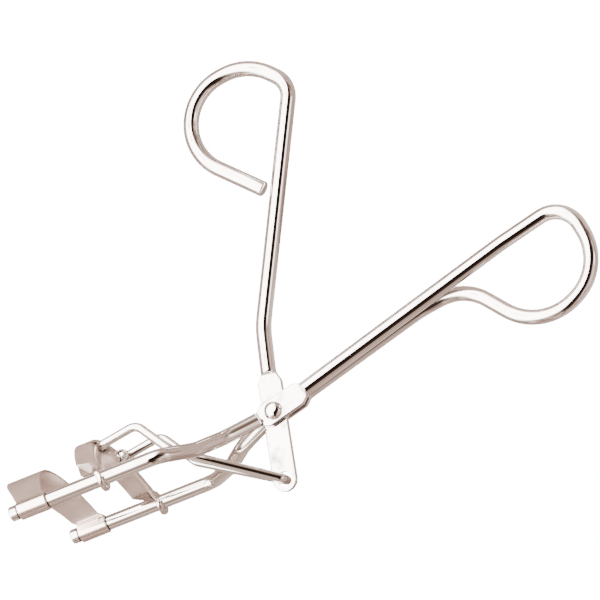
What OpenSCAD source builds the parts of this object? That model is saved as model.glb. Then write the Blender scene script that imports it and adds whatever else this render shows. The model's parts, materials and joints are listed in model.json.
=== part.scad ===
// Eyelash curler: bent wire frame with a fixed jaw, and a wire lever that
// drives a sliding jaw through a forked link. Millimetres, +Z up, lying on
// one rail bend and both finger loops.

/* [Wire frame] */
// Diameter of the frame wire
wire_d = 2.5; // [2.2:0.1:2.8]
// Distance between the two guide rails, centre to centre
rail_spacing = 30; // [27:0.5:33]
// Distance from the pivot to the tips of the rails
rail_reach = 42.8; // [42:0.4:46]
// Length of the straight part of the handle behind the pivot
handle_length = 41; // [34:1:46]
// Angle of the handle above the rails
handle_angle = 15.1; // [12:0.1:17]

/* [Lever] */
// Diameter of the lever wire
lever_d = 2.6; // [2.4:0.1:2.8]
// Width of the flattened lever blade
blade_width = 4.1; // [3.8:0.1:4.5]
// Thickness of the flattened blade and of the flattened frame ears
flat_thickness = 1; // [0.8:0.1:1.1]
// Length of the lever from its bend to the finger loop
lever_length = 40.4; // [34:0.2:46]

/* [Jaws] */
// Height of the fixed jaw's arch above the rails
arch_height = 7.9; // [7:0.3:8.8]
// Sheet thickness of both jaws
sheet = 0.5; // [0.4:0.05:0.6]
// Depth of the moving jaw's channel
channel_depth = 3; // [2.6:0.1:3.4]
// How far the rubber pad stands out of the channel
pad_proud = 0.3; // [0.2:0.1:0.6]

/* [Link] */
// Diameter of the link wire
link_d = 1.5; // [1.3:0.1:1.5]
// Distance between the two arms of the link
link_spread = 13; // [12:0.5:14]

/* [Display] */
// Which piece to build

/* [Hidden] */
steel = [0.86, 0.85, 0.84];
pale_steel = [0.80, 0.76, 0.74];
rubber = [0.86, 0.80, 0.77];
bend_step = 11;
wire_r = wire_d / 2;
lever_r = lever_d / 2;
link_r = link_d / 2;
half_flat = flat_thickness / 2;
rail_y = -3.85;
rail_z = rail_spacing / 2;

// Frame wire: the two sides lie one above the other at the pivot, and spread
// far enough on the rail side for the blade to swing between them
pivot = [0.4, -0.52, 0];
side_z = wire_r + 0.05;
spread_z = half_flat + wire_r + 0.12;
ear_z = half_flat + 0.05 + half_flat;
ear_angle = 13.4;
ear_middle = 1.9;
ear_half = 4.6;
ear_r = 2;
ear_start = [-2.4, -1.2, spread_z];
ear_end = [6.1, 0.85, side_z];
handle_dir = [cos(handle_angle), sin(handle_angle), 0];
handle_end = ear_end - [1.1, 0.3, 0] + handle_length * handle_dir;
near_side = [
    [-rail_reach, rail_y, rail_z],
    [-rail_reach + 0.4, rail_y, rail_z],
    [-16.6, rail_y, rail_z],
    [-11.9, rail_y, rail_z - 5.2],
    [-7.7, -2.6, 5],
    ear_start,
    ear_end,
    ear_end + [1.2, 0.32, 0]
];
near_bends = [0, 0, 4, 8, 8, 1.2, 2, 0];
finger_loop = [
    handle_end,
    handle_end + [11.9, 2.65, 0],
    handle_end + [14.3, -9.6, 0.5 - side_z],
    handle_end + [1.4, -15.7, -0.6 - side_z],
    handle_end + [-8.5, -3.75, -2 * side_z],
    handle_end + [-16.6, -4.7, -2 * side_z]
];
loop_bends = [40, 4.6, 8.5, 9.5, 8, 20];
far_side = [for (i = [7:-1:0]) [near_side[i][0], near_side[i][1], -near_side[i][2]]];
far_bends = [for (i = [7:-1:0]) near_bends[i]];
frame_corners = concat(near_side, finger_loop, far_side);
frame_path = refine(filleted(frame_corners, concat(near_bends, loop_bends, far_bends)));

// Lever: a flat blade below the pivot, round wire above it
blade_angle = 80.2;
blade_dir = [cos(blade_angle), sin(blade_angle), 0];
link_hole = [-1.65, -11.5, 0];
blade_len = 15.8;
blade_tip = blade_width / 2 - 0.05;
lever_top = link_hole + (blade_len + 2.8) * blade_dir;
lever_knee = [2.9, 13.4, 0];
lever_dir = [cos(64.7), sin(64.7), 0];
loop_base = lever_knee + lever_length * lever_dir;
tip_steps = [for (f = [1, 0.93, 0.75, 0.45, 0]) -blade_tip * f];
neck_steps = [for (f = [0, 0.5, 1, 1.5, 1.8, 2.1]) blade_len + f];
blade_path = [for (s = concat(tip_steps, neck_steps)) link_hole + s * blade_dir];
lever_loop = [
    lever_top,
    lever_knee,
    loop_base,
    loop_base + [-5.8, 6.1, 0],
    loop_base + [-28, 3.4, 0],
    loop_base + [-10, -14.9, 0],
    loop_base + [-9.7, -15.2, 0]
];
lever_path = filleted(
    concat(blade_path, lever_loop),
    concat([for (p = blade_path) 0], [8, 14, 3.9, 9, 8.5, 0, 0])
);

// Link: one wire through the blade's hole, both arms up to the moving jaw
link_z = link_spread / 2;
jaw_pin = [-27.5, 3.4, 0];
link_arm = [
    link_hole + [0, 0, 1.5],
    [-16.4, -1.8, link_z + 0.1],
    [-20.7, 4.4, link_z],
    jaw_pin + [0, 0, link_z],
    jaw_pin + [0, 0, 4.3]
];
link_bends = [0.9, 2, 2, 0.9, 0];
link_path = filleted(
    concat([for (i = [4:-1:0]) [link_arm[i][0], link_arm[i][1], -link_arm[i][2]]], link_arm),
    concat([for (i = [4:-1:0]) link_bends[i]], link_bends)
);

// Fixed jaw: arched strip, both ends rolled round the rails
sleeve_left = -41.2;
sleeve_len = 5;
sleeve_r = wire_r + 0.3;
strip_chord = rail_z + 0.5;
strip_r = (strip_chord * strip_chord + arch_height * arch_height) / (2 * arch_height);
strip_y = rail_y + arch_height - strip_r;
strip_low = rail_y + 0.7;
strip_front = -36.4;
strip_back = -40.9;
front_lean = 14.5;
back_lean = 24;

// Moving jaw: arched channel, an eye round each rail, two lugs for the link
plate_x = -26.12;
plate_t = 0.8;
wall_x = plate_x - 0.3;
inner_x = wall_x - channel_depth;
outer_x = inner_x + 0.1;
pad_low = rail_y + 0.5;
jaw_lean = 13.5;
jaw_y = rail_y - 8;
jaw_outer = rail_z + 2.8;
jaw_inner = jaw_outer - 3;
eye_r = wire_r + 0.95;
eye_len = 0.95;
eye_hole = wire_r + 0.08;
lug_z = 4.9;
lug_t = 0.8;
lug_r = 1.1;
lug_hole = link_r + 0.05;

// Rivet through both ears and the blade
pin_r = 1;
head_r = 1.55;
head_h = 0.95;
head_ball = (head_r * head_r + head_h * head_h) / (2 * head_h);
stack = ear_z + half_flat;

// How the tool lies on the table
lie_angle = 13.34;
lie_heading = 128.21;
lift = [-6.605, -21.335, 12.029];

function unit(v) = v / norm(v);
function clamp01(x) = min(1, max(0, x));
function smooth(x) = let (c = clamp01(x)) c * c * (3 - 2 * c);
function mix(a, b, f) = a + (b - a) * f;

// Rounds each corner of a polyline with its own bend radius
function filleted(points, radii) = [
    for (i = [0:len(points) - 1])
        let (plain = i == 0 || i == len(points) - 1 || radii[i] == 0)
        for (p = plain ? [points[i]] : bend(points[i - 1], points[i], points[i + 1], radii[i])) p
];
function bend(a, b, c, r) =
    let (u = unit(b - a), v = unit(c - b), turn = acos(min(1, max(-1, u * v))))
    turn < 1.5 ? [b] :
    let (start = b - u * r * tan(turn / 2), inward = unit(v - u * (u * v)))
    let (steps = ceil(turn / bend_step))
    [for (j = [0:steps]) start + inward * r * (1 - cos(turn * j / steps)) + u * r * sin(turn * j / steps)];

// Adds closely spaced points along the ears, where the wire is flattened
function refine(path) = [
    for (i = [0:len(path) - 1])
        let (a = path[i], b = path[min(i + 1, len(path) - 1)], gap = norm(b - a))
        let (parts = gap < 9 && norm(a) < 7 && norm(b) < 7 ? max(1, ceil(gap / 0.6)) : 1)
        for (j = [0:parts - 1]) a + (b - a) * j / parts
];

// Half width, half thickness, corner radius and sideways shift at a point of the wire
function frame_section(p) =
    let (u = abs(p[0] * cos(ear_angle) + p[1] * sin(ear_angle) - ear_middle))
    let (wide = smooth((ear_half - u) / 1.6), flat = smooth((ear_half - u) / 0.7))
    let (tip = abs(p[0] + rail_reach) < 0.1 ? 0.72 : 1)
    let (inward = (p[2] > 0 ? -1 : 1) * flat * (abs(p[2]) - ear_z))
    concat([mix(wire_r, ear_r, wide), mix(wire_r, half_flat, flat), mix(wire_r, 0.35, flat)] * tip, [inward]);
function lever_section(p) =
    let (s = (p - link_hole) * blade_dir)
    let (wide = 1 - smooth((s - blade_len) / 2), flat = 1 - smooth((s - blade_len - 1.3) / 0.8))
    let (w = blade_width / 2, end = s < 0 ? sqrt(max(0.1, w * w - s * s)) : w)
    let (tip = norm(p - lever_path[len(lever_path) - 1]) < 0.1 ? 0.78 : 1)
    p[1] > 30 ? [lever_r * tip, lever_r * tip, lever_r * tip, 0] :
    [mix(lever_r, end, wide), mix(lever_r, half_flat, flat), mix(lever_r, min(0.35, end * 0.9), flat), 0];
function ring(p, along, up, s) =
    let (n = unit(up - (up * along) * along), b = cross(along, n))
    [
        for (q = [0:3], k = [0:3])
            let (a = 90 * q + 11.25 + 22.5 * k)
            let (side = (q == 0 || q == 3 ? 1 : -1) * (s[0] - s[2]), top = (q < 2 ? 1 : -1) * (s[1] - s[2]))
            p + (side + s[2] * cos(a)) * b + (top + s[2] * sin(a) + s[3]) * n
    ];
function heading(path, i) =
    let (n = len(path) - 1)
    i == 0 ? unit(path[1] - path[0]) :
    i == n ? unit(path[n] - path[n - 1]) :
    unit(unit(path[i] - path[i - 1]) + unit(path[i + 1] - path[i]));

// Sweeps the sections along the path as one closed solid
module sweep(path, sections, up) {
    n = len(path);
    points = [for (i = [0:n - 1]) for (q = ring(path[i], heading(path, i), up, sections[i])) q];
    skin = [
        for (i = [0:n - 2], k = [0:15])
            let (a = 16 * i + k, b = 16 * i + (k + 1) % 16)
            for (f = [[a, b, b + 16], [a, b + 16, a + 16]]) f
    ];
    near_cap = [for (k = [15:-1:0]) k];
    far_cap = [for (k = [0:15]) 16 * (n - 1) + k];
    polyhedron(points, concat([near_cap], skin, [far_cap]), convexity = 8);
}

// Arched shell along X between two radii
module shell(r_out, r_in, centre_y) {
    translate([-60, centre_y, 0])
        rotate([0, 90, 0])
            difference() {
                cylinder(r = r_out, h = 60, $fn = 120);
                translate([0, 0, -1])
                    cylinder(r = r_in, h = 62, $fn = 120);
            }
}

// Wedge between two leaning planes; its lower edge may slope from left to right
module slab(x_left, lean_left, x_right, lean_right, low_left, low_right) {
    high = rail_y + 12;
    depth = rail_z + 4;
    translate([0, 0, -depth])
        linear_extrude(height = 2 * depth)
            polygon([
                [x_left - tan(lean_left) * (low_left - rail_y), low_left],
                [x_right - tan(lean_right) * (low_right - rail_y), low_right],
                [x_right - tan(lean_right) * (high - rail_y), high],
                [x_left - tan(lean_left) * (high - rail_y), high]
            ]);
}

module along_rail(x, side) {
    translate([x, rail_y, side * rail_z])
        rotate([0, 90, 0])
            children();
}

module lying() {
    translate(lift)
        rotate(a = lie_angle, v = [cos(lie_heading), sin(lie_heading), 0])
            children();
}

module frame_wire() {
    color(steel)
        lying()
            difference() {
                sweep(frame_path, [for (p = frame_path) frame_section(p)], [0, 0, 1]);
                translate(pivot - [0, 0, 4])
                    cylinder(r = pin_r - 0.02, h = 8, $fn = 48);
            }
}

module fixed_jaw() {
    color(pale_steel)
        lying()
            difference() {
                union() {
                    intersection() {
                        shell(strip_r + sheet / 2, strip_r - sheet / 2, strip_y);
                        slab(strip_back, back_lean, strip_front, front_lean, strip_low, strip_low);
                    }
                    for (side = [-1, 1])
                        along_rail(sleeve_left, side)
                            cylinder(r = sleeve_r, h = sleeve_len, $fn = 48);
                }
                for (side = [-1, 1])
                    along_rail(sleeve_left - 1, side)
                        cylinder(r = wire_r - 0.02, h = sleeve_len + 2, $fn = 48);
            }
}

module pivot_rivet() {
    color(steel)
        lying()
            translate(pivot) {
                translate([0, 0, -stack])
                    cylinder(r = pin_r, h = 2 * stack, $fn = 48);
                for (side = [0, 1])
                    mirror([0, 0, side])
                        intersection() {
                            translate([0, 0, stack + head_h - head_ball])
                                sphere(r = head_ball, $fn = 64);
                            translate([0, 0, stack])
                                cylinder(r = head_r + 0.5, h = head_h + 0.5, $fn = 48);
                        }
            }
}

module lever() {
    color(steel)
        lying()
            difference() {
                sweep(lever_path, [for (p = lever_path) lever_section(p)], [0, 0, 1]);
                translate(pivot - [0, 0, 2])
                    cylinder(r = pin_r + 0.05, h = 4, $fn = 48);
                translate(link_hole - [0, 0, 2])
                    cylinder(r = link_r + 0.5, h = 4, $fn = 48);
            }
}

module link_yoke() {
    color(steel)
        lying()
            sweep(link_path, [for (p = link_path) [link_r, link_r, link_r, 0]], [0.5, 0.87, 0]);
}

module lug(side) {
    translate([jaw_pin[0], jaw_pin[1], side * lug_z - lug_t / 2]) {
        cylinder(r = lug_r, h = lug_t, $fn = 40);
        translate([-1.05, -lug_r, 0])
            cube([1.05, 2 * lug_r, lug_t]);
    }
}

module moving_jaw() {
    color(pale_steel)
        lying()
            difference() {
                union() {
                    // Back plate of the channel, with the windows the lugs were bent out of
                    difference() {
                        intersection() {
                            shell(jaw_outer, jaw_inner, jaw_y);
                            slab(plate_x - plate_t, jaw_lean, plate_x, jaw_lean, rail_y, rail_y);
                        }
                        for (side = [-1, 1])
                            translate([jaw_pin[0] - 2, jaw_pin[1] - 1, side * (link_z - 0.7) - 1.75])
                                cube([4, 2, 3.5]);
                    }
                    // Inner wall of the channel
                    intersection() {
                        shell(jaw_inner + sheet, jaw_inner, jaw_y);
                        slab(inner_x, jaw_lean, wall_x, jaw_lean, rail_y + 1.4, rail_y + 0.8);
                    }
                    // Outer wall of the channel, stopping short of the rails
                    intersection() {
                        shell(jaw_outer, jaw_outer - sheet, jaw_y);
                        slab(outer_x, jaw_lean, wall_x, jaw_lean, rail_y + 4, rail_y + 3.1);
                    }
                    for (side = [-1, 1]) {
                        along_rail(plate_x - eye_len + 0.2, side)
                            rotate_extrude($fn = 48)
                                polygon([
                                    [eye_hole - 0.2, 0],
                                    [eye_r - 0.3, 0],
                                    [eye_r, 0.3],
                                    [eye_r, eye_len - 0.3],
                                    [eye_r - 0.3, eye_len],
                                    [eye_hole - 0.2, eye_len]
                                ]);
                        lug(side);
                    }
                }
                for (side = [-1, 1]) {
                    along_rail(-40, side)
                        cylinder(r = eye_hole, h = 30, $fn = 48);
                    translate([jaw_pin[0], jaw_pin[1], side * lug_z - 1])
                        cylinder(r = lug_hole, h = 2, $fn = 40);
                }
            }
}

module lash_pad() {
    color(rubber)
        lying()
            difference() {
                intersection() {
                    shell(jaw_outer - sheet + 0.03, jaw_inner + sheet - 0.03, jaw_y);
                    slab(inner_x - pad_proud, jaw_lean, plate_x - plate_t + 0.03, jaw_lean, pad_low, pad_low);
                }
                for (side = [-1, 1])
                    along_rail(-40, side)
                        cylinder(r = wire_r + 0.4, h = 30, $fn = 48);
            }
}

frame_wire();
fixed_jaw();
pivot_rivet();
lever();
link_yoke();
moving_jaw();
lash_pad();
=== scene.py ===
import bpy, bmesh, json, math
from mathutils import Matrix, Vector


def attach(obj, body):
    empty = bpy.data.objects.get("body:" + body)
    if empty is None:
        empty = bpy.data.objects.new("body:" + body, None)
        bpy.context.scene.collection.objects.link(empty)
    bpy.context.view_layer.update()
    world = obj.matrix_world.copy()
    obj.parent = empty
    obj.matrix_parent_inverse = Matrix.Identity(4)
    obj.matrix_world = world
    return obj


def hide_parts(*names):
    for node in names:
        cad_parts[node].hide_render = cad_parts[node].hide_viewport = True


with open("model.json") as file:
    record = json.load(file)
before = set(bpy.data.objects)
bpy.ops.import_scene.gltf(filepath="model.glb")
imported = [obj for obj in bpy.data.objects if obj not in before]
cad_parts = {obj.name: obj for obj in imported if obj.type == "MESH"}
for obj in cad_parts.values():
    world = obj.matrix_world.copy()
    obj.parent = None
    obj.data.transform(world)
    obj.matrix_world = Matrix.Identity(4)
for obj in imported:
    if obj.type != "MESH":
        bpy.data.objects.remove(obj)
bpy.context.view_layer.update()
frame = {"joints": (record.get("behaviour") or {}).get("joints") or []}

# ---------------------------------------------------------------- tool frame
# x along the rails to the finger loops, z along the pivot, in millimetres
joints = {j["name"]: j for j in frame["joints"]}
z_axis = -Vector(joints["lever_pivot"]["axis"])
x_axis = -Vector(joints["jaw_slide"]["axis"])
y_axis = z_axis.cross(x_axis)
turn = Matrix((x_axis, y_axis, z_axis)).transposed()
PIVOT = Vector((0.4, -0.52, 0))
origin = Vector(joints["lever_pivot"]["pos_m"]) - turn @ PIVOT / 1000


def row(p):
    return origin + turn @ Vector(p) / 1000


# ---------------------------------------------------------------- dimensions
WIRE_R, LEVER_R, LINK_R = 1.25, 1.3, 0.75
RAIL_Y, RAIL_Z, RAIL_TIP = -3.85, 15.0, -42.8
FLAT, EDGE_R = 0.5, 0.3
SIDE_Z = WIRE_R + 0.05
SPREAD_Z = FLAT + WIRE_R + 0.12
EAR_Z = FLAT + 0.05 + FLAT
EAR_ANGLE, EAR_MIDDLE, EAR_HALF, EAR_R = math.radians(13.4), 1.9, 4.6, 2.0
HOLE = Vector((-1.65, -11.5, 0))
JAW_PIN = Vector((-27.5, 3.4, 0))
SHEET = 0.5


def mix(a, b, f):
    return a + (b - a) * f


def smooth(x):
    c = min(1.0, max(0.0, x))
    return c * c * (3 - 2 * c)


def filleted(points, radii, step=5.0):
    """The polyline with each corner rounded by its own bend radius."""
    pts = [Vector(p) for p in points]
    out = [pts[0]]
    for i in range(1, len(pts) - 1):
        a, b, c, r = pts[i - 1], pts[i], pts[i + 1], radii[i]
        u, v = (b - a).normalized(), (c - b).normalized()
        angle = u.angle(v)
        if r == 0 or angle < math.radians(1):
            out.append(b)
            continue
        start = b - u * r * math.tan(angle / 2)
        inward = (v - u * u.dot(v)).normalized()
        n = max(2, math.ceil(math.degrees(angle) / step))
        for j in range(n + 1):
            t = angle * j / n
            out.append(start + inward * r * (1 - math.cos(t)) + u * r * math.sin(t))
    out.append(pts[-1])
    return out


def resampled(path, longest):
    """Adds points so that no step is longer than longest(point)."""
    out = []
    for a, b in zip(path, path[1:]):
        n = max(1, math.ceil((b - a).length / longest((a + b) / 2)))
        out += [a.lerp(b, k / n) for k in range(n)]
    return out + [path[-1]]


# ---------------------------------------------------------------- mesh tools
def finish_mesh(name, bm, sharp=38.0):
    """Turns a bmesh in tool-frame millimetres into a smooth-shaded object in the row frame."""
    bmesh.ops.recalc_face_normals(bm, faces=bm.faces)
    for f in bm.faces:
        f.smooth = True
    for e in bm.edges:
        if len(e.link_faces) == 2 and e.calc_face_angle(0) > math.radians(sharp):
            e.smooth = False
    for v in bm.verts:
        v.co = row(v.co)
    me = bpy.data.meshes.new(name)
    bm.to_mesh(me)
    bm.free()
    ob = bpy.data.objects.new(name, me)
    bpy.context.scene.collection.objects.link(ob)
    return ob


def grid(bm, rings, joined=False):
    """Skins a list of point rings: capped at both ends, or joined from the last ring to the first."""
    rows = [[bm.verts.new(p) for p in r] for r in rings]
    n = len(rows[0])
    for a, b in zip(rows, rows[1:] + (rows[:1] if joined else [])):
        for k in range(n):
            bm.faces.new((a[k], a[(k + 1) % n], b[(k + 1) % n], b[k]))
    if not joined:
        bm.faces.new(rows[0][::-1])
        bm.faces.new(rows[-1])


def section_ring(p, along, up, w, h, r, shift=0.0, per_corner=9):
    """Ring of a rounded rectangle with half width w and half thickness h."""
    n = (up - along * up.dot(along)).normalized()
    b = along.cross(n)
    flat = min(1.0, (w + h - 2 * r) / 0.2)
    ring = []
    for q in range(4):
        sx = 1 if q in (0, 3) else -1
        sy = 1 if q < 2 else -1
        for k in range(per_corner):
            a = math.radians(90 * q + mix(90 * (k + 0.5) / per_corner, 90 * k / (per_corner - 1), flat))
            across = sx * (w - r) + r * math.cos(a)
            above = sy * (h - r) + r * math.sin(a) + shift
            ring.append(p + b * across + n * above)
    return ring


def swept(bm, path, section, up):
    """Sweeps section(point, distance from start, distance to end) along the path."""
    up = Vector(up)
    gone = [0.0]
    for a, b in zip(path, path[1:]):
        gone.append(gone[-1] + (b - a).length)
    rings = []
    for i, p in enumerate(path):
        before = (p - path[i - 1]).normalized() if i else None
        after = (path[i + 1] - p).normalized() if i < len(path) - 1 else None
        along = after if before is None else before if after is None else (before + after).normalized()
        rings.append(section_ring(p, along, up, *section(p, gone[i], gone[-1] - gone[i])))
    grid(bm, rings)


def end_round(d, depth=0.35, amount=0.32):
    """Scale that rounds a wire's cut end over the last bit of its length."""
    if d >= depth:
        return 1.0
    t = 1 - d / depth
    return 1 - amount * (1 - math.sqrt(max(0.0, 1 - t * t)))


def with_end_points(path, depth=0.35, start=True, end=True):
    out = list(path)
    for flag, rev in ((start, False), (end, True)):
        if not flag:
            continue
        if rev:
            out.reverse()
        a, b = out[0], out[1]
        d = (b - a).normalized()
        out[1:1] = [a + d * depth * t for t in (0.04, 0.12, 0.25, 0.45, 0.7, 1.0)]
        if rev:
            out.reverse()
    return out


def cut(ob, cutters):
    """Takes the cutters out of the object for good."""
    for c in cutters:
        m = ob.modifiers.new("cut", "BOOLEAN")
        m.operation = "DIFFERENCE"
        m.solver = "EXACT"
        m.object = c
    bpy.context.view_layer.update()
    dg = bpy.context.evaluated_depsgraph_get()
    me = bpy.data.meshes.new_from_object(ob.evaluated_get(dg))
    ob.modifiers.clear()
    old = ob.data
    ob.data = me
    bpy.data.meshes.remove(old)
    for c in cutters:
        bpy.data.objects.remove(c)
    bm = bmesh.new()
    bm.from_mesh(ob.data)
    bmesh.ops.remove_doubles(bm, verts=bm.verts, dist=1e-7)
    for f in bm.faces:
        f.smooth = True
    for e in bm.edges:
        e.smooth = not (len(e.link_faces) == 2 and e.calc_face_angle(0) > math.radians(38))
    bm.to_mesh(ob.data)
    bm.free()


def post(center, axis, r, half, segments=64):
    """A cylinder to cut with."""
    bm = bmesh.new()
    axis = Vector(axis).normalized()
    side = axis.orthogonal().normalized()
    other = axis.cross(side)
    rings = []
    for s in (-half, half):
        rings.append([Vector(center) + axis * s + (side * math.cos(a) + other * math.sin(a)) * r
                      for a in (2 * math.pi * k / segments for k in range(segments))])
    grid(bm, rings)
    return finish_mesh("cutter", bm)


def block(low, high):
    """A box to cut with."""
    bm = bmesh.new()
    (x0, y0, z0), (x1, y1, z1) = low, high
    corners = ((y0, z0), (y1, z0), (y1, z1), (y0, z1))
    grid(bm, [[Vector((x, y, z)) for y, z in corners] for x in (x0, x1)])
    return finish_mesh("cutter", bm)


# ---------------------------------------------------------------- frame wire
near = [(RAIL_TIP, RAIL_Y, RAIL_Z), (-16.6, RAIL_Y, RAIL_Z), (-11.9, RAIL_Y, RAIL_Z - 5.2), (-7.7, -2.6, 5.0),
        (-2.4, -1.2, SPREAD_Z), (6.1, 0.85, SIDE_Z), (7.3, 1.17, SIDE_Z)]
near_bends = [0, 4, 8, 8, 1.2, 2, 0]
HANDLE_LENGTH, HANDLE_ANGLE = 41.0, math.radians(15.1)
handle_end = Vector((5.0 + HANDLE_LENGTH * math.cos(HANDLE_ANGLE),
                     0.55 + HANDLE_LENGTH * math.sin(HANDLE_ANGLE), SIDE_Z))
loop_corners = [(0, 0, 0), (11.9, 2.65, 0), (14.3, -9.6, 0.5 - SIDE_Z), (1.4, -15.7, -0.6 - SIDE_Z),
                (-8.5, -3.75, -2 * SIDE_Z), (-16.6, -4.7, -2 * SIDE_Z)]
loop = [handle_end + Vector(p) for p in loop_corners]
loop_bends = [40, 4.6, 8.5, 9.5, 8, 20]
far = [(x, y, -z) for x, y, z in reversed(near)]


def at_ear(p):
    return abs(p.x * math.cos(EAR_ANGLE) + p.y * math.sin(EAR_ANGLE) - EAR_MIDDLE)


def frame_section(p, d0, d1):
    u = at_ear(p)
    wide, flat = smooth((EAR_HALF - u) / 1.7), smooth((EAR_HALF - u) / 0.55)
    tip = end_round(min(d0, d1))
    shift = (-1 if p.z > 0 else 1) * flat * (abs(p.z) - EAR_Z)
    half_width, half_height = mix(WIRE_R, EAR_R, wide), mix(WIRE_R, FLAT, flat)
    return half_width * tip, half_height * tip, mix(WIRE_R, EDGE_R, flat) * tip, shift


def frame_step(p):
    on_ear = at_ear(p) < EAR_HALF + 0.5 and abs(p.y) < 4 and abs(p.z) < 4
    return 0.16 if on_ear else 3.0


path = resampled(filleted(near + loop + far, near_bends + loop_bends + near_bends[::-1]), frame_step)
bm = bmesh.new()
swept(bm, with_end_points(path), frame_section, (0, 0, 1))
frame_wire = finish_mesh("frame_wire_bent", bm)

# ---------------------------------------------------------------- lever
blade_dir = Vector((math.cos(math.radians(80.2)), math.sin(math.radians(80.2)), 0))
knee = Vector((2.9, 13.4, 0))
base = knee + 40.4 * Vector((math.cos(math.radians(64.7)), math.sin(math.radians(64.7)), 0))
BLADE_W, BLADE_LEN = 2.05, 15.8
tips = [-1, -0.985, -0.95, -0.88, -0.78, -0.65, -0.5, -0.33, -0.16]
blade = [HOLE + blade_dir * (BLADE_W - 0.01) * t for t in tips] + [HOLE]
blade += [HOLE + blade_dir * (BLADE_LEN + s) for s in (0, 2.8)]
lever_loop = [base + Vector(p) for p in ((0, 0, 0), (-5.8, 6.1, 0), (-28, 3.4, 0), (-9.7, -15.2, 0))]
lever_path = filleted(blade + [knee] + lever_loop, [0] * 11 + [8, 14, 3.9, 9, 8.5, 0])
lever_path = resampled(lever_path, lambda p: 0.14 if 3.5 < p.y < 7.5 and p.x < 6 else 3.0)


def lever_section(p, d0, d1):
    s = (p - HOLE).dot(blade_dir)
    wide, flat = 1 - smooth((s - BLADE_LEN) / 2.0), 1 - smooth((s - BLADE_LEN - 1.5) / 0.55)
    if p.y > 20 or (p.y > 10 and p.x > 0):
        wide = flat = 0
    w = math.sqrt(max(0.02, BLADE_W ** 2 - s * s)) if s < 0 else BLADE_W
    tip = end_round(d1)
    edge_r = mix(LEVER_R, min(EDGE_R, w * 0.9), flat)
    return mix(LEVER_R, w, wide) * tip, mix(LEVER_R, FLAT, flat) * tip, edge_r * tip, 0


bm = bmesh.new()
swept(bm, with_end_points(lever_path, start=False), lever_section, (0, 0, 1))
lever = finish_mesh("lever_wire", bm)
cut(lever, [post(HOLE, (0, 0, 1), LINK_R + 0.5, 2), post(PIVOT, (0, 0, 1), 1.05, 2)])

# ---------------------------------------------------------------- link
LINK_Z = 6.5
arm = [HOLE + Vector((0, 0, 1.5)), Vector((-16.4, -1.8, LINK_Z + 0.1)), Vector((-20.7, 4.4, LINK_Z)),
       JAW_PIN + Vector((0, 0, LINK_Z)), JAW_PIN + Vector((0, 0, 4.3))]
arm_bends = [0.9, 2, 2, 0.9, 0]
far_arm = [Vector((p.x, p.y, -p.z)) for p in reversed(arm)]
link_path = filleted(far_arm + arm, arm_bends[::-1] + arm_bends, 6)


def link_section(p, d0, d1):
    r = LINK_R * end_round(min(d0, d1), 0.5, 0.8)
    return r, r, r, 0


bm = bmesh.new()
swept(bm, with_end_points(link_path, 0.5), link_section, (0.5, 0.87, 0))
link = finish_mesh("link_wire", bm)

# ---------------------------------------------------------------- rivet
bm = bmesh.new()
STACK, HEAD_R, HEAD_H = EAR_Z + FLAT, 1.55, 0.95
profile = [(0.99, 0.0), (0.99, STACK - 0.01), (HEAD_R - 0.08, STACK), (HEAD_R, STACK + 0.07)]
for k in range(1, 15):
    r = (HEAD_R - 0.02) * math.cos(math.pi / 2 * k / 15)
    profile.append((r, STACK + HEAD_H * (1 - (r / HEAD_R) ** 2.6) ** 0.62))
half = profile[1:]
circle = [2 * math.pi * k / 64 for k in range(64)]
full = [(r, -z) for r, z in reversed(half)] + half
grid(bm, [[Vector((PIVOT.x + r * math.cos(a), PIVOT.y + r * math.sin(a), z)) for a in circle] for r, z in full])
rivet = finish_mesh("pivot_rivet_domed", bm)

# ---------------------------------------------------------------- sheet tools
def offset_profile(line, t, rounded=4):
    """Closed outline of a sheet of thickness t round a centre line of 2-D points, with rounded ends."""
    pts = [Vector((a, b)) for a, b in line]
    normals = []
    for i, p in enumerate(pts):
        d = (pts[min(i + 1, len(pts) - 1)] - pts[max(i - 1, 0)]).normalized()
        normals.append(Vector((-d.y, d.x)))
    one = [p + n * t / 2 for p, n in zip(pts, normals)]
    two = [p - n * t / 2 for p, n in zip(pts, normals)]

    def cap(p, n, outward):
        angles = [math.pi * k / (rounded + 1) for k in range(1, rounded + 1)]
        return [p + (n * math.cos(a) + outward * math.sin(a)) * t / 2 for a in angles]

    end = (pts[-1] - pts[-2]).normalized()
    start = (pts[0] - pts[1]).normalized()
    return one + cap(pts[-1], normals[-1], end) + two[::-1] + cap(pts[0], normals[0], start)[::-1]


# ---------------------------------------------------------------- fixed jaw
ARCH_H = 7.9
chord = RAIL_Z + 0.5
ARCH_R = (chord ** 2 + ARCH_H ** 2) / (2 * ARCH_H)
ARCH_Y = RAIL_Y + ARCH_H - ARCH_R
ROLL_R = WIRE_R + 0.16
roll_t = 0.3
top_angle = math.radians(101)
start_point = Vector((RAIL_Z, RAIL_Y)) + Vector((math.cos(top_angle), math.sin(top_angle))) * ROLL_R
side_line = []
phi_end = math.asin((start_point.x - 0.55) / ARCH_R)
for k in range(41):
    phi = phi_end * k / 40
    side_line.append(Vector((ARCH_R * math.sin(phi), ARCH_Y + ARCH_R * math.cos(phi))))
for k in range(67):
    a = top_angle - math.radians(5 * k)
    side_line.append(Vector((RAIL_Z + ROLL_R * math.cos(a), RAIL_Y + ROLL_R * math.sin(a))))
full_line = [Vector((-p.x, p.y)) for p in reversed(side_line[1:])] + side_line


def strip_edges(y, near_rail):
    corner = 0.45 * smooth((y - RAIL_Y - 3) / 3.5)
    left = mix(-40.9 - corner - math.tan(math.radians(24)) * (y - RAIL_Y), -41.2, near_rail)
    right = mix(-36.4 - math.tan(math.radians(14.5)) * (y - RAIL_Y), -36.2, near_rail)
    return left, right


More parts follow.
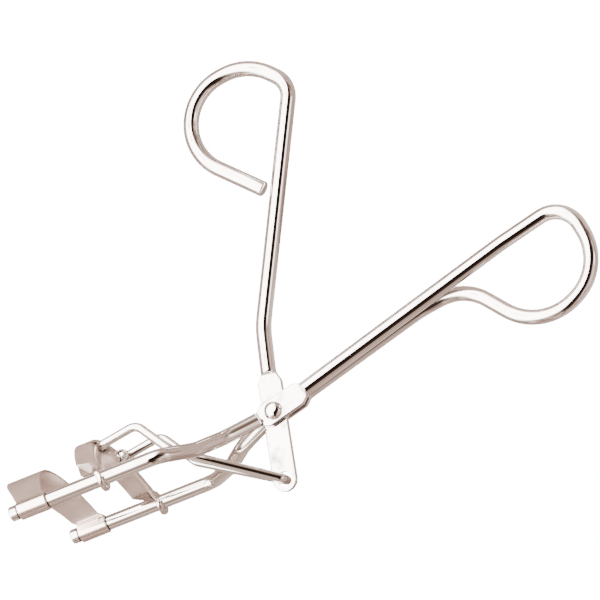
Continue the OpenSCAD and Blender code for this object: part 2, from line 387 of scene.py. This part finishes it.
bm = bmesh.new()
n_line = len(full_line)
ACROSS = (0, 0.02, 0.06, 0.15, 0.3, 0.5, 0.7, 0.85, 0.94, 0.98, 1)
rings = []
for i, p in enumerate(full_line):
    a, b = full_line[max(i - 1, 0)], full_line[min(i + 1, n_line - 1)]
    d = (b - a).normalized()
    nrm = Vector((-d.y, d.x))
    on_roll = abs(i - (n_line - 1) / 2) > len(side_line) - 68
    rail_f = smooth((RAIL_Y + 3.2 - p.y) / 2.2) if not on_roll else 1.0
    t = mix(SHEET, roll_t, rail_f)
    left, right = strip_edges(p.y, 1.0 if on_roll else smooth((RAIL_Y + 2.0 - p.y) / 0.6))
    e = 0.1
    across = [left + e + (right - left - 2 * e) * f for f in ACROSS]
    outline = [(x, t / 2) for x in across]
    outline += [(right - 0.03, t / 2 - 0.07), (right, 0), (right - 0.03, -t / 2 + 0.07)]
    outline += [(x, -t / 2) for x in reversed(across)]
    outline += [(left + 0.03, -t / 2 + 0.07), (left, 0), (left + 0.03, t / 2 - 0.07)]
    ring = []
    for x, o in outline:
        q = p + nrm * o
        ring.append(Vector((x, q.y, q.x)))
    rings.append(ring)
grid(bm, rings)
fixed_jaw = finish_mesh("fixed_jaw_strip", bm, 60)
# Notch beside the free end of each roll
NOTCH_FROM, NOTCH_TO = 13.4, 14.15
notches = []
for side in (-1, 1):
    z_low, z_high = sorted((side * NOTCH_FROM, side * NOTCH_TO))
    notches.append(block((-37.2, RAIL_Y + 0.55, z_low), (-36.0, RAIL_Y + 1.15, z_high)))
cut(fixed_jaw, notches)

# ---------------------------------------------------------------- moving jaw
PLATE_X, PLATE_T, LEAN = -26.12, 0.8, math.tan(math.radians(13.5))
JAW_Y, JAW_OUT, DEPTH = RAIL_Y - 8, RAIL_Z + 2.8, 3.0
JAW_IN = JAW_OUT - 3


def arch_point(dx, rho, phi):
    y = JAW_Y + rho * math.cos(phi)
    return Vector((PLATE_X + dx - LEAN * (y - RAIL_Y), y, rho * math.sin(phi)))


def phi_at(rho, height):
    return math.acos(min(1.0, (RAIL_Y + height - JAW_Y) / rho))


def jaw_sweep(bm, outline, height, n=72, bend=0.72, knee=math.radians(44)):
    rings = []
    for i in range(n + 1):
        s = 2 * i / n - 1
        ring = []
        for dx, rho in outline:
            last = phi_at(rho, height(dx, rho))
            m = abs(s)
            phi = knee * m / bend if m < bend else mix(knee, last, (m - bend) / (1 - bend))
            ring.append(arch_point(dx, rho, math.copysign(phi, s)))
        rings.append(ring)
    grid(bm, rings)


CHANNEL_T = 0.55
centre = filleted(
    [(-DEPTH - 0.2, JAW_OUT - CHANNEL_T / 2, 0), (-CHANNEL_T / 2, JAW_OUT - CHANNEL_T / 2, 0),
     (-CHANNEL_T / 2, JAW_IN + CHANNEL_T / 2, 0), (-DEPTH - 0.3, JAW_IN + CHANNEL_T / 2, 0)],
    [0, 0.48, 0.45, 0], 12)
centre = resampled(centre, lambda p: 0.5)
outline = offset_profile([(p.x, p.y) for p in centre], CHANNEL_T)


def jaw_height(dx, rho):
    deep = min(1.0, max(0.0, -dx / DEPTH))
    plate = -0.4
    wall = smooth((-dx - 0.5) / 0.35)
    inner = mix(0.8, 1.4, deep)
    hood = mix(3.1, 4.0, deep)
    return mix(plate, hood if rho > (JAW_IN + JAW_OUT) / 2 else inner, wall)


bm = bmesh.new()
jaw_sweep(bm, outline, jaw_height)
moving_jaw = finish_mesh("moving_jaw_channel", bm, 50)
cutters = []
for side in (-1, 1):
    z = side * (LINK_Z - 0.7)
    cutters.append(block((JAW_PIN.x - 2, JAW_PIN.y - 1, z - 1.75), (JAW_PIN.x + 2, JAW_PIN.y + 1, z + 1.75)))
for side in (-1, 1):
    cutters.append(post((-30, RAIL_Y, side * RAIL_Z), (1, 0, 0), WIRE_R + 0.08, 10))
cut(moving_jaw, cutters)

# Eyes round the rails
eyes = []
EYE_R, EYE_HOLE, EYE_LEN = WIRE_R + 0.95, WIRE_R + 0.08, 0.95
prof = []
for cx, cr, first, r in ((0.12, EYE_HOLE + 0.12, 270, 0.12), (0.32, EYE_R - 0.32, 180, 0.32),
                         (EYE_LEN - 0.32, EYE_R - 0.32, 90, 0.32), (EYE_LEN - 0.12, EYE_HOLE + 0.12, 0, 0.12)):
    for k in range(7):
        a = math.radians(first - 90 * k / 6)
        prof.append((cx + r * math.cos(a), cr + r * math.sin(a)))
for side in (-1, 1):
    rings = []
    for a in circle:
        ring = []
        for x, r in prof:
            up = r * math.cos(a)
            lean = LEAN * max(0, up) + 0.12 * smooth(up)
            z = side * RAIL_Z + r * math.sin(a)
            ring.append(Vector((PLATE_X - EYE_LEN + 0.2 + x - lean, RAIL_Y + up, z)))
        rings.append(ring)
    bm = bmesh.new()
    grid(bm, rings, joined=True)
    eyes.append(finish_mesh("jaw_eye_%s" % ("near" if side > 0 else "far"), bm, 60))

# Lugs that hold the link's ends
lugs = []
LUG_R, LUG_HOLE, LUG_T, LUG_Z = 1.1, LINK_R + 0.05, 0.8, 4.9
for side in (-1, 1):
    bm = bmesh.new()
    n = 48
    outer, inner = [], []
    for k in range(n):
        a = 2 * math.pi * k / n
        c, s = math.cos(a), math.sin(a)
        x, y = LUG_R * c, LUG_R * s
        if c < 0:
            x = -1.05 * min(1.0, -c / 0.7)
            y = LUG_R * math.copysign(min(1.0, abs(s) / 0.7), s)
        outer.append((x, y))
        inner.append((LUG_HOLE * c, LUG_HOLE * s))
    e = 0.09
    levels = [(inner, -LUG_T / 2 + e, 1.0), (inner, -LUG_T / 2, 1.06),
              (outer, -LUG_T / 2, 0.94), (outer, -LUG_T / 2 + e, 1.0),
              (outer, LUG_T / 2 - e, 1.0), (outer, LUG_T / 2, 0.94),
              (inner, LUG_T / 2, 1.06), (inner, LUG_T / 2 - e, 1.0)]
    rings = []
    for shape, z, f in levels:
        rings.append([Vector((JAW_PIN.x + x * f, JAW_PIN.y + y * f, side * LUG_Z + z)) for x, y in shape])
    grid(bm, rings, joined=True)
    lugs.append(finish_mesh("jaw_lug_%s" % ("near" if side > 0 else "far"), bm, 45))

# ---------------------------------------------------------------- rubber pad
PAD_OUT, PAD_IN = JAW_OUT - SHEET - 0.14, JAW_IN + SHEET + 0.1
back, front = -PLATE_T - 0.3, -DEPTH - 0.3 - 0.3
mid = (PAD_OUT + PAD_IN) / 2
pad_outline = []
corner = 0.45
for cx, cy, a0, r in ((back - 0.1, PAD_OUT - 0.1, 90, 0.1), (back - 0.1, PAD_IN + 0.1, 0, 0.1),
                      (front + corner, PAD_IN + corner, -90, corner),
                      (front + corner, PAD_OUT - corner, 180, corner)):
    for k in range(7):
        a = math.radians(a0 - 90 * k / 6)
        pad_outline.append((cx + r * math.cos(a), cy + r * math.sin(a)))
# shallow groove along the middle of the front face
g = len(pad_outline) - 7
for dx, dr in ((0.0, -0.42), (0.14, -0.22), (0.2, 0.0), (0.14, 0.22), (0.0, 0.42)):
    pad_outline.insert(g, (front + dx, mid + dr))
    g += 1
bm = bmesh.new()
n = 96
rings = []
for i in range(n + 1):
    s = 2 * i / n - 1
    end = min(1.0, (1 - abs(s)) / 0.03)
    shrink = 0.82 + 0.18 * math.sqrt(1 - (1 - end) ** 2)
    ring = []
    for dx, rho in pad_outline:
        dx2 = mix((back + front) / 2, dx, shrink)
        rho2 = mix(mid, rho, shrink)
        last = math.acos((RAIL_Y + 1.75 - JAW_Y) / rho2)
        ring.append(arch_point(dx2, rho2, s * last))
    rings.append(ring)
grid(bm, rings)
pad = finish_mesh("lash_pad_rubber", bm, 60)

# ---------------------------------------------------------------- node tools
DEG = math.pi / 180


def feed(nt, value, socket):
    """Gives a socket a plain value, or links another node's output to it."""
    if isinstance(value, bpy.types.NodeSocket):
        nt.links.new(value, socket)
    else:
        socket.default_value = value


def calc(nt, operation, a, b=0.0):
    n = nt.nodes.new("ShaderNodeMath")
    n.operation = operation
    feed(nt, a, n.inputs[0])
    feed(nt, b, n.inputs[1])
    return n.outputs[0]


def ranged(nt, value, lo, hi, to_lo=0.0, to_hi=1.0, curve="LINEAR"):
    n = nt.nodes.new("ShaderNodeMapRange")
    n.interpolation_type = curve
    n.inputs["From Min"].default_value, n.inputs["From Max"].default_value = lo, hi
    n.inputs["To Min"].default_value, n.inputs["To Max"].default_value = to_lo, to_hi
    feed(nt, value, n.inputs["Value"])
    return n.outputs["Result"]


def dotted(nt, vector, axis):
    n = nt.nodes.new("ShaderNodeVectorMath")
    n.operation = "DOT_PRODUCT"
    n.inputs[1].default_value = axis
    feed(nt, vector, n.inputs[0])
    return n.outputs["Value"]


def clouds(nt, vector, scale, detail):
    n = nt.nodes.new("ShaderNodeTexNoise")
    n.inputs["Scale"].default_value = scale
    n.inputs["Detail"].default_value = detail
    feed(nt, vector, n.inputs["Vector"])
    return n.outputs["Fac"]


def ramp(nt, fac, *stops):
    """Colour ramp through (position, colour) stops, in order."""
    n = nt.nodes.new("ShaderNodeValToRGB")
    places = n.color_ramp.elements
    for end, (position, color) in ((0, stops[0]), (1, stops[-1])):
        places[end].position, places[end].color = position, (*color, 1)
    for position, color in stops[1:-1]:
        places.new(position).color = (*color, 1)
    feed(nt, fac, n.inputs["Fac"])
    return n.outputs["Color"]


def blended(nt, fac, a, b):
    n = nt.nodes.new("ShaderNodeMix")
    n.data_type = "RGBA"
    feed(nt, fac, n.inputs["Factor"])
    feed(nt, (*a, 1) if isinstance(a, tuple) else a, n.inputs[6])
    feed(nt, (*b, 1) if isinstance(b, tuple) else b, n.inputs[7])
    return n.outputs[2]


def emission(nt, color, strength):
    n = nt.nodes.new("ShaderNodeEmission")
    feed(nt, color, n.inputs["Color"])
    n.inputs["Strength"].default_value = strength
    return n.outputs[0]


def parts(m):
    """A material's node tree, its shader and its texture coordinates."""
    nt = m.node_tree
    return nt, nt.nodes["Principled BSDF"], nt.nodes.new("ShaderNodeTexCoord")


# ---------------------------------------------------------------- materials
def material(name, color, tint, tint_scale, metallic, rough, rough_var, bump, scale):
    m = bpy.data.materials.new(name)
    m.use_nodes = True
    nt, bsdf, coord = parts(m)
    bsdf.inputs["Metallic"].default_value = metallic
    place = coord.outputs["Object"]
    cloud = clouds(nt, place, tint_scale, 4)
    feed(nt, ramp(nt, cloud, (0.35, tint), (0.65, color)), bsdf.inputs["Base Color"])
    smoothest, roughest = max(0.0, rough - rough_var), rough + rough_var
    feed(nt, ranged(nt, cloud, 0.3, 0.7, smoothest, roughest), bsdf.inputs["Roughness"])
    b = nt.nodes.new("ShaderNodeBump")
    b.inputs["Strength"].default_value = bump
    b.inputs["Distance"].default_value = 0.0001
    feed(nt, clouds(nt, place, scale, 6), b.inputs["Height"])
    nt.links.new(b.outputs["Normal"], bsdf.inputs["Normal"])
    return m


def tinted(nt, bsdf, fac, color):
    """Lays a colour over the shader's own, by the factor."""
    base = bsdf.inputs["Base Color"]
    feed(nt, blended(nt, fac, base.links[0].from_socket, color), base)


def flat_marks_and_painted_shade(m, axis):
    """Faint cloudy patches where the wire was hammered flat, whose faces look along the axis: partly the flats'
    own marks, partly painted shade that dims their reflection.
    """
    nt, bsdf, coord = parts(m)
    facing = calc(nt, "ABSOLUTE", dotted(nt, coord.outputs["Normal"], axis))
    flat = ranged(nt, facing, 0.992, 0.999)
    spots = ranged(nt, clouds(nt, coord.outputs["Object"], 420, 7), 0.50, 0.72, 0.0, 0.95)
    tinted(nt, bsdf, calc(nt, "MULTIPLY", flat, spots), (0.20, 0.18, 0.17))


def polished_rolls(m):
    """Smoother finish where the strip is rolled round the rails."""
    nt, bsdf, coord = parts(m)
    level = y_axis.dot(row((0, RAIL_Y, 0)))
    height = dotted(nt, coord.outputs["Object"], y_axis)
    gloss = ranged(nt, height, level + 0.0014, level + 0.0019, 0.5, 1.0, "SMOOTHSTEP")
    rough = bsdf.inputs["Roughness"]
    feed(nt, calc(nt, "MULTIPLY", gloss, rough.links[0].from_socket), rough)


def painted_shadow_ring(m, x, width):
    """Painted shadow line round the rails at x, at the mouth of a sleeve."""
    nt, bsdf, coord = parts(m)
    off = calc(nt, "SUBTRACT", dotted(nt, coord.outputs["Object"], x_axis), x_axis.dot(row((x, 0, 0))))
    line = ranged(nt, calc(nt, "ABSOLUTE", off), width / 1000, width / 3000, curve="SMOOTHSTEP")
    tinted(nt, bsdf, line, (0.04, 0.03, 0.025))


bright = material("bright_nickel_wire", (0.93, 0.91, 0.89), (0.86, 0.83, 0.81), 180,
                  metallic=1.0, rough=0.025, rough_var=0.015, bump=0.03, scale=900)
satin = material("satin_nickel_sheet", (0.91, 0.81, 0.76), (0.84, 0.74, 0.69), 260,
                 metallic=1.0, rough=0.33, rough_var=0.03, bump=0.05, scale=1500)
polished = material("rubbed_eyes", (0.88, 0.80, 0.76), (0.78, 0.71, 0.68), 300,
                    metallic=1.0, rough=0.04, rough_var=0.02, bump=0.05, scale=900)
# darker copy of the sheet for the lugs: painted shade on the tabs
lug_painted_shade = material("lug_sheet_painted_shade", (0.40, 0.34, 0.31), (0.26, 0.22, 0.20), 500,
                metallic=1.0, rough=0.42, rough_var=0.08, bump=0.3, scale=1200)
rubber = material("pale_silicone", (0.66, 0.50, 0.42), (0.58, 0.43, 0.36), 350,
                  metallic=0.0, rough=0.75, rough_var=0.08, bump=0.25, scale=2500)
rubber.node_tree.nodes["Principled BSDF"].inputs["Specular IOR Level"].default_value = 0.05
polished_rolls(satin)
flat_marks_and_painted_shade(bright, z_axis)
# painted shadow lines round the rails at the mouths of the sleeves
for x in (-36.05, -41.35):
    painted_shadow_ring(bright, x, 0.2)

pieces = [(frame_wire, "frame", ["frame_wire"], bright, "plated_wire"),
          (lever, "lever", ["lever"], bright, "plated_wire"),
          (link, "link", ["link_yoke"], bright, "plated_wire"),
          (rivet, "frame", ["pivot_rivet"], bright, "plated_wire"),
          (fixed_jaw, "frame", ["fixed_jaw"], satin, "plated_sheet"),
          (moving_jaw, "jaw", ["moving_jaw"], satin, "plated_sheet"),
          (eyes[0], "jaw", [], polished, "plated_sheet"),
          (eyes[1], "jaw", [], polished, "plated_sheet"),
          (lugs[0], "jaw", [], lug_painted_shade, "plated_sheet"),
          (lugs[1], "jaw", [], lug_painted_shade, "plated_sheet"),
          (pad, "jaw", ["lash_pad"], rubber, "pad_rubber")]
for ob, body, nodes, mat, slot in pieces:
    ob.data.materials.clear()
    ob.data.materials.append(mat)
    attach(ob, body)
    if nodes:
        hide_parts(*nodes)

# ---------------------------------------------------------------- camera
# Right and toward directions in the tool frame; the offset from the frame's zero is in millimetres
cam_right = turn @ Vector((0.907, -0.311, -0.283))
cam_toward = (turn @ Vector((0.208, -0.254, 0.945))).normalized()
cam_up = cam_toward.cross(cam_right).normalized()
cam_right = cam_up.cross(cam_toward).normalized()
CAM_RIGHT, CAM_UP, CAM_AWAY = 4.435, 17.694, 800
cam = bpy.data.objects.new("camera", bpy.data.cameras.new("camera"))
bpy.context.scene.collection.objects.link(cam)
cam.data.lens = 297.6
cam.data.sensor_width = 36
cam.data.clip_end = 20
place = Matrix((cam_right, cam_up, cam_toward)).transposed().to_4x4()
place.translation = row((0, 0, 0)) + (cam_right * CAM_RIGHT + cam_up * CAM_UP + cam_toward * CAM_AWAY) / 1000
cam.matrix_world = place
bpy.context.scene.camera = cam

# ---------------------------------------------------------------- floor
# White to the camera; in the wires' reflections a dim cloudy brown, painted shade in place of the floor's
# shadows
FLOOR_GLOW = 17
bm = bmesh.new()
bmesh.ops.create_grid(bm, x_segments=8, y_segments=8, size=6)
me = bpy.data.meshes.new("floor")
bm.to_mesh(me)
bm.free()
floor = bpy.data.objects.new("floor", me)
bpy.context.scene.collection.objects.link(floor)
m = bpy.data.materials.new("pale_floor")
m.use_nodes = True
nt, paint, coord = parts(m)
paint.inputs["Base Color"].default_value = (0.9, 0.9, 0.9, 1)
paint.inputs["Roughness"].default_value = 0.9
both = nt.nodes.new("ShaderNodeAddShader")
feed(nt, paint.outputs[0], both.inputs[0])
feed(nt, emission(nt, (1, 1, 1, 1), FLOOR_GLOW), both.inputs[1])
# painted shade: dim cloudy brown that only reflections see
painted_floor_shade = ramp(nt, clouds(nt, coord.outputs["Object"], 28, 2),
             (0.38, (0.40, 0.25, 0.20)), (0.5, (0.80, 0.57, 0.47)), (0.62, (1.2, 0.93, 0.81)))
pick = nt.nodes.new("ShaderNodeMixShader")
feed(nt, nt.nodes.new("ShaderNodeLightPath").outputs["Is Camera Ray"], pick.inputs[0])
feed(nt, emission(nt, painted_floor_shade, 1.0), pick.inputs[1])
feed(nt, both.outputs[0], pick.inputs[2])
feed(nt, pick.outputs[0], nt.nodes["Material Output"].inputs["Surface"])
floor.data.materials.append(m)

# ---------------------------------------------------------------- studio
# Softbox and dark patches, fixed round the tool; diffuse rays get one even colour instead
world = bpy.data.worlds.new("studio")
bpy.context.scene.world = world
world.use_nodes = True
world.cycles.sampling_method = "NONE"
nt = world.node_tree
bg = nt.nodes["Background"]
sky = nt.nodes.new("ShaderNodeTexCoord").outputs["Generated"]


def step(value, lo, hi):
    return ranged(nt, value, lo, hi, curve="SMOOTHSTEP")


def band(value, lo, hi, soft):
    past = calc(nt, "SUBTRACT", 1.0, step(value, hi - soft, hi + soft))
    return calc(nt, "MULTIPLY", step(value, lo - soft, lo + soft), past)


def aim(x, y):
    """Direction x degrees to the right of the photo camera's and y degrees above it."""
    a, f = math.hypot(x, y) * DEG, math.atan2(y, x)
    return cam_toward * math.cos(a) + (cam_right * math.cos(f) + cam_up * math.sin(f)) * math.sin(a)


def patch(x, y, r, soft):
    """Round patch of sky, r degrees in radius, whose edge is soft by so many degrees."""
    return step(dotted(nt, sky, aim(x, y)), math.cos((r + soft) * DEG), math.cos(max(0, r - soft) * DEG))


def most(*values):
    out = values[0]
    for v in values[1:]:
        out = calc(nt, "MAXIMUM", out, v)
    return out


apart = calc(nt, "ARCCOSINE", dotted(nt, sky, cam_toward))
side = cam_right * math.cos(165 * DEG) + cam_up * math.sin(165 * DEG)
around = calc(nt, "ARCTAN2", dotted(nt, sky, cam_toward.cross(side)), dotted(nt, sky, side))
softbox = calc(nt, "MULTIPLY", band(around, -70 * DEG, 64 * DEG, 12 * DEG),
               band(apart, 12 * DEG, 80 * DEG, 7 * DEG))
dark = most(patch(0, -2, 21, 3), patch(9, 17, 16, 3), patch(28, 13, 8, 5), patch(3, -19, 10, 5),
            patch(-8, -17, 9, 4), patch(2, -33, 9, 4), patch(8, -43, 6, 4))
shade = most(patch(2, -3, 28, 9), patch(16, 27, 15, 9), patch(22, 40, 12, 9), patch(6, -34, 12, 10))
WHITE, PALE, TAUPE = (13.0, 12.2, 11.6), (1.5, 1.2, 1.05), (0.74, 0.53, 0.43)
BRIGHT, SHADE, BLACK = (5.0, 4.5, 4.2), (0.20, 0.13, 0.10), (0.025, 0.015, 0.012)
EVEN = (1.2, 1.15, 1.1)
room = clouds(nt, sky, 4.5, 3)
color = blended(nt, step(room, 0.50, 0.60), TAUPE, PALE)
dim = calc(nt, "MULTIPLY", step(calc(nt, "SUBTRACT", 1.0, room), 0.50, 0.60), 0.8)
for fac, layer in ((dim, SHADE), (patch(46, -6, 20, 10), PALE), (shade, SHADE), (patch(49, 9, 7, 3), BRIGHT),
                   (softbox, WHITE), (dark, BLACK)):
    color = blended(nt, fac, color, layer)
diffuse = nt.nodes.new("ShaderNodeLightPath").outputs["Is Diffuse Ray"]
feed(nt, blended(nt, diffuse, color, EVEN), bg.inputs["Color"])
bg.inputs["Strength"].default_value = 1.0
